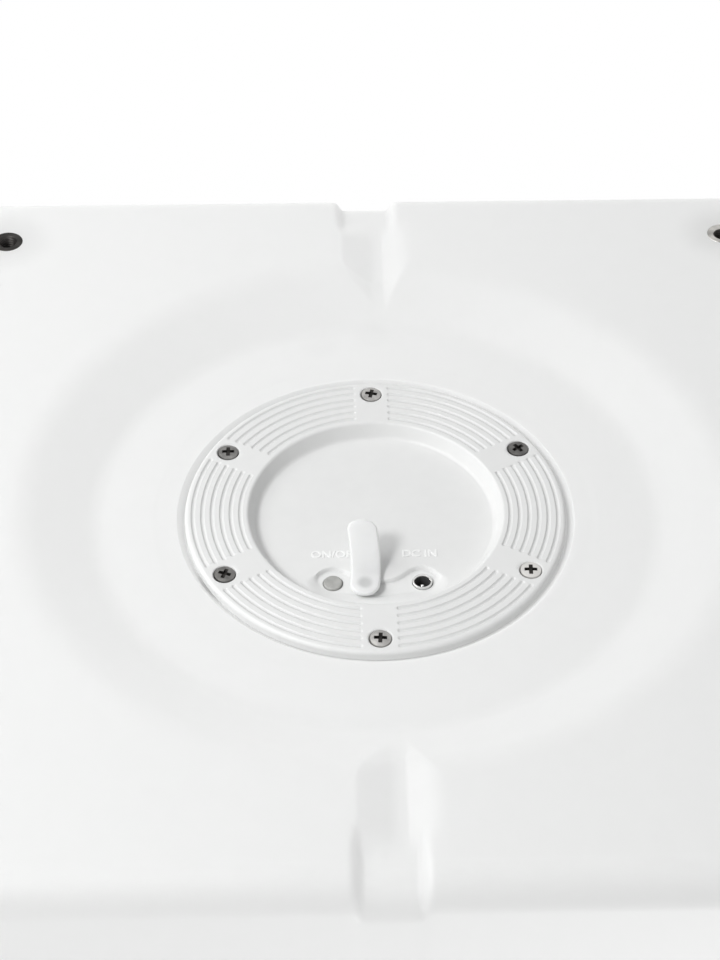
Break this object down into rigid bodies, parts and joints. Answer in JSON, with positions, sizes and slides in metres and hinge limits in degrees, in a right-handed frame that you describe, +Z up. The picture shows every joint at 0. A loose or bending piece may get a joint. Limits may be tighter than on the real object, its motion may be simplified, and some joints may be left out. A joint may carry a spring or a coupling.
{
  "type": "lamp",
  "caption": "Rechargeable outdoor light cube with a dished white base, a push switch, a charging socket under a soft hinged seal, and threaded inserts for feet",
  "frame": {"origin": "middle of the base plane on which the cube stands", "axes": "+Z up through the middle of the cube; the switch and the charging socket lie towards -Y, the switch on the +X side"},
  "size_m": [0.395, 0.395, 0.395],
  "materials": {
    "shell_plastic": "fine satin, moulded",
    "cover_plastic": "smooth satin, moulded",
    "insert_steel": "dull, darkened",
    "screw_steel": "satin",
    "plated_metal": "bright plated",
    "brass": "turned",
    "silicone": "soft, slightly milky",
    "gasket_rubber": "matte",
    "button_plastic": "satin",
    "black_plastic": "matte",
    "circuit_board": "solder resist",
    "led_board": "white solder resist",
    "led_phosphor": "cast resin",
    "dome_plastic": "milky, light passes through",
    "cell_wrap": "shrunk film",
    "foam": "open foam",
    "strap_aluminium": "bent sheet",
    "plug_plastic": "moulded",
    "lead_sheath": "drawn"
  },
  "bodies": {
    "lamp": {"shell": "shell_plastic", "corner_inserts": "insert_steel", "screw_sleeves": "brass", "flange_gasket": "gasket_rubber", "led_cover": "cover_plastic", "flange_screws": "screw_steel", "switch_body": "black_plastic", "socket_sleeve": "plated_metal", "socket_pin": "plated_metal", "socket_body": "black_plastic", "control_board": "circuit_board", "control_parts": "black_plastic", "control_screws": "screw_steel", "battery_cells": "cell_wrap", "battery_wrap": "cell_wrap", "battery_foam": "foam", "battery_strap": "strap_aluminium", "strap_screws": "screw_steel", "lead_plugs": "plug_plastic", "battery_leads": "lead_sheath", "led_leads": "lead_sheath", "led_board": "led_board", "led_chips": "led_phosphor", "led_screws": "screw_steel", "dome": "dome_plastic", "dome_seal": "gasket_rubber", "dome_screws": "screw_steel"},
    "button": {"button_cap": "button_plastic", "switch_plunger": "black_plastic"},
    "seal_pad": {"seal_anchor": "silicone"},
    "seal_strip": {"seal_flap": "silicone"}
  },
  "joints": [
    {"name": "button_press", "type": "slide", "parent": "lamp", "child": "button", "axis": [0, 0, 1], "range_m": [0, 0.0012], "stiffness_N_per_m": 1600, "springref_m": -0.0002},
    {"name": "seal_swivel", "type": "hinge", "parent": "lamp", "child": "seal_pad", "pos_m": [0.0051, -0.037, 0.0174], "axis": [0, 0, 1], "range_deg": [-75, 83]},
    {"name": "seal_fold", "type": "hinge", "parent": "seal_pad", "child": "seal_strip", "pos_m": [0.0051, -0.0305, 0.0174], "axis": [-1, 0, 0], "range_deg": [-30, 45], "stiffness_Nm_per_rad": 0.002}
  ]
}
